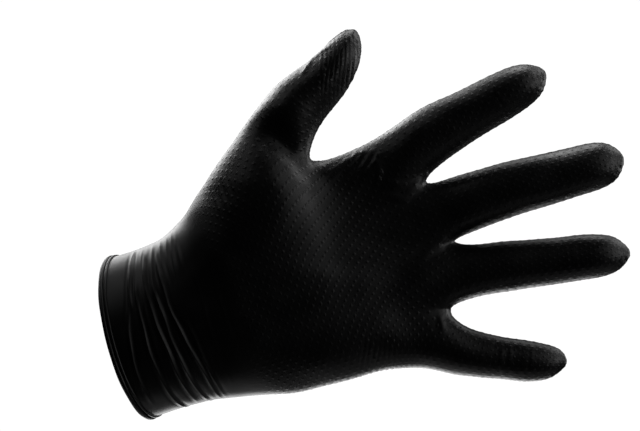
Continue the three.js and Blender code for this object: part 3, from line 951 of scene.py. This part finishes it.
def even_out(knots, grids):
    """Draw each knot to the middle of its neighbours and back to the film, over and over"""
    pairs = [(grid[:-1].ravel(), grid[1:].ravel()) for grid in grids]
    pairs += [(grid[:, :-1].ravel(), grid[:, 1:].ravel()) for grid in grids]
    one, other = (np.concatenate(ends) for ends in zip(*pairs))
    ends, opposite = np.concatenate([one, other]), np.concatenate([other, one])
    count = np.bincount(ends)[:, None]
    free = (from_rim(knots) > grip_start / 2)[:, None]
    tree = BVHTree.FromPolygons(film_points.tolist(), quads.tolist())
    for _ in range(evening_rounds):
        sums = np.stack([np.bincount(ends, weights=knots[opposite, i]) for i in range(3)], axis=1)
        knots = knots + evening_pull * free * (sums / count - knots)
        knots = np.array([tree.find_nearest(knot)[0] for knot in knots.tolist()])
    ups = np.array([tree.find_nearest(knot)[1] for knot in knots.tolist()])
    return knots, ups


def lattice():
    """The middles of the diamonds, the ways out and along, and the half steps' lengths"""
    knots, colours, grids = half_step_net()
    knots, ups = even_out(knots, grids)
    step_across, step_along = np.zeros_like(knots), np.zeros_like(knots)
    for grid in grids:
        step_across[grid] = np.gradient(knots[grid], axis=0)
        step_along[grid] = np.gradient(knots[grid], axis=1)
    own = colours == 0
    return knots[own], ups[own], step_across[own], step_along[own]


def turn_to(normal, along):
    """The turn that takes Z to the normal and X near the way along, as Euler angles"""
    normal = normal / np.linalg.norm(normal, axis=1, keepdims=True)
    along = along - (along * normal).sum(axis=1, keepdims=True) * normal
    along /= np.linalg.norm(along, axis=1, keepdims=True)
    third = np.cross(normal, along)
    y = np.arcsin(np.clip(-along[:, 2], -1, 1))
    x = np.arctan2(third[:, 2], normal[:, 2])
    z = np.arctan2(along[:, 1], along[:, 0])
    return np.stack([x, y, z], axis=1)


def grip_tree(material):
    """Geometry Nodes that set one diamond on each point, by the point's own turn and size"""
    tree = bpy.data.node_groups.new("grip_diamonds", "GeometryNodeTree")
    sockets = tree.interface
    sockets.new_socket("Geometry", in_out="INPUT", socket_type="NodeSocketGeometry")
    for name, value in (("Length", diamond_length), ("Width", diamond_width), ("Height", diamond_height)):
        socket = sockets.new_socket(name, in_out="INPUT", socket_type="NodeSocketFloat")
        socket.default_value = value
    sockets.new_socket("Geometry", in_out="OUTPUT", socket_type="NodeSocketGeometry")
    start = add_node(tree, "NodeGroupInput")
    cone = add_node(
        tree,
        "GeometryNodeMeshCone",
        {
            "Vertices": 4,
            "Side Segments": 1,
            "Radius Top": diamond_flat,
            "Radius Bottom": 1.0,
            "Depth": 1.0,
        },
    )
    turn = add_node(tree, "GeometryNodeInputNamedAttribute", {"data_type": "FLOAT_VECTOR", "Name": "turn"})
    size = add_node(tree, "GeometryNodeInputNamedAttribute", {"data_type": "FLOAT_VECTOR", "Name": "steps"})
    shares = add_node(
        tree,
        "ShaderNodeCombineXYZ",
        {},
        {"X": start.outputs["Length"], "Y": start.outputs["Width"], "Z": start.outputs["Height"]},
    )
    scale = add_node(
        tree,
        "ShaderNodeVectorMath",
        {"operation": "MULTIPLY"},
        {0: size.outputs["Attribute"], 1: shares.outputs[0]},
    )
    points = add_node(tree, "GeometryNodeMeshToPoints", {}, {"Mesh": start.outputs["Geometry"]})
    placed = add_node(
        tree,
        "GeometryNodeInstanceOnPoints",
        {},
        {
            "Points": points.outputs["Points"],
            "Instance": cone.outputs["Mesh"],
            "Rotation": turn.outputs["Attribute"],
            "Scale": scale.outputs["Vector"],
        },
    )
    real = add_node(tree, "GeometryNodeRealizeInstances", {}, {"Geometry": placed.outputs["Instances"]})
    finish = add_node(
        tree, "GeometryNodeSetMaterial", {"Material": material}, {"Geometry": real.outputs["Geometry"]}
    )
    add_node(tree, "NodeGroupOutput", {}, {"Geometry": finish.outputs["Geometry"]})
    return tree


middles, ups, step_across, step_along = lattice()
strength = ease(from_rim(middles), grip_start, grip_full)
kept = strength > least_strength
middles, ups, step_across, step_along = (a[kept] for a in (middles, ups, step_across, step_along))
strength = strength[kept]
length_along = np.linalg.norm(step_along, axis=1)
length_across = np.linalg.norm(step_across, axis=1)
steps = np.stack([length_along, length_across, strength], axis=1) * millimetre
sunk = diamond_sunk * ups
seed_mesh = bpy.data.meshes.new("grip_points")
seed_mesh.from_pydata(((middles - sunk) * millimetre).tolist(), [], [])
for name, values in (("turn", turn_to(ups, step_along)), ("steps", steps)):
    layer = seed_mesh.attributes.new(name, "FLOAT_VECTOR", "POINT")
    layer.data.foreach_set("vector", values.ravel().astype(np.float32))
seeds = bpy.data.objects.new("grip_points", seed_mesh)
bpy.context.scene.collection.objects.link(seeds)
growing = seeds.modifiers.new("diamonds", "NODES")
growing.node_group = grip_tree(rubber)
evaluated = seeds.evaluated_get(bpy.context.evaluated_depsgraph_get())
grip_mesh = bpy.data.meshes.new_from_object(evaluated)
grip_mesh.name = "grip_diamonds"
bpy.data.objects.remove(seeds)
grip = bpy.data.objects.new("grip_diamonds", grip_mesh)
bpy.context.scene.collection.objects.link(grip)
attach(grip, "root")
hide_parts("glove")

# The camera looks straight at the palm from a metre away and is turned about its own axis, so
# that the fingers point right and a little up. The picture is 640 by 431 pixels.
picture_width = 640
pixels_per_millimetre = 2.3
camera_distance = 1000
camera_turn = math.radians(19.4)
camera_place = (96.0, -1014.0, 22.65)
camera = bpy.data.cameras.new("camera")
camera.sensor_width = 36
camera.lens = camera.sensor_width * pixels_per_millimetre * camera_distance / picture_width
viewer = bpy.data.objects.new("camera", camera)
picture_right = np.array((math.cos(camera_turn), 0, -math.sin(camera_turn)))
picture_up = np.array((math.sin(camera_turn), 0, math.cos(camera_turn)))
towards_camera = np.array((0, -1, 0))
turn = Matrix((picture_right, picture_up, towards_camera)).transposed()
viewer.matrix_world = Matrix.Translation([c * millimetre for c in camera_place]) @ turn.to_4x4()
bpy.context.scene.collection.objects.link(viewer)
bpy.context.scene.camera = viewer

# The stage: a plain grey floor far below the glove, which is held up by its cuff, and a studio of
# soft boxes. Most stand behind, and the strongest there above and below, so that the middle of
# the palm stays dark and the film shines softly along its edges.
floor_drop = 1.3
floor_radius = 0.8
floor_middle = 0.1
bpy.ops.mesh.primitive_circle_add(
    vertices=96,
    radius=floor_radius,
    fill_type="NGON",
    location=(floor_middle, 0, cad_box[0][2] - floor_drop),
)
floor = bpy.context.object
floor.name = "floor"
paint = bpy.data.materials.new("grey_floor")
paint.use_nodes = True
coat = paint.node_tree.nodes["Principled BSDF"].inputs
coat["Base Color"].default_value = linear(0x8C8C8C)
coat["Roughness"].default_value = 0.9
floor.data.materials.append(paint)

# Off is the angle from the camera's side, around the angle from the picture's right to its top,
# both in degrees, and the power is in watts.
box_columns = ("off", "around", "power")
soft_boxes = {
    "right_front": (50, 0, 0.9),
    "upper_right_front": (50, 45, 0.9),
    "right_side": (75, 8, 2.4),
    "upper_left_side": (75, 135, 0.8),
    "upper_right": (92, 45, 2.1),
    "below": (92, 270, 1.3),
    "upper_right_behind": (108, 45, 2.0),
    "above_behind": (108, 90, 8.0),
    "lower_left_behind": (108, 225, 1.8),
    "right_far_behind": (124, 5, 2.6),
    "upper_right_far_behind": (124, 45, 1.8),
    "above_far_behind": (124, 90, 1.8),
    "upper_left_far_behind": (124, 135, 5.1),
    "upper_left_back": (142, 135, 8.7),
    "below_back": (142, 270, 6.0),
}
box_side = 0.8
box_distance = 1.5
aim = np.array((0.11, 0, 0.01))
for name, values in soft_boxes.items():
    box = dict(zip(box_columns, values))
    off, around = math.radians(box["off"]), math.radians(box["around"])
    sideways = picture_right * math.cos(around) + picture_up * math.sin(around)
    outward = towards_camera * math.cos(off) + sideways * math.sin(off)
    light = bpy.data.lights.new(name, "AREA")
    light.shape = "SQUARE"
    light.size = box_side
    light.energy = box["power"]
    lamp = bpy.data.objects.new(name, light)
    level = np.cross((0, 0, 1), outward)
    level /= np.linalg.norm(level)
    turn = Matrix((level, np.cross(outward, level), outward)).transposed()
    lamp.matrix_world = Matrix.Translation(aim + box_distance * outward) @ turn.to_4x4()
    bpy.context.scene.collection.objects.link(lamp)

# The backdrop is white where the camera sees it, and the room itself gives almost no light.
backdrop_strength = 1.05
room_strength = 0.002
white = (1, 1, 1, 1)
world = bpy.data.worlds.new("studio")
bpy.context.scene.world = world
world.use_nodes = True
sky = world.node_tree
sky.nodes.clear()
seen = add_node(sky, "ShaderNodeLightPath")
plain = add_node(sky, "ShaderNodeBackground", {"Color": white, "Strength": backdrop_strength})
room = add_node(sky, "ShaderNodeBackground", {"Color": white, "Strength": room_strength})
both = add_node(
    sky,
    "ShaderNodeMixShader",
    {},
    {0: seen.outputs["Is Camera Ray"], 1: room.outputs[0], 2: plain.outputs[0]},
)
add_node(sky, "ShaderNodeOutputWorld", {}, {"Surface": both.outputs[0]})
bpy.context.scene.view_settings.view_transform = "Standard"
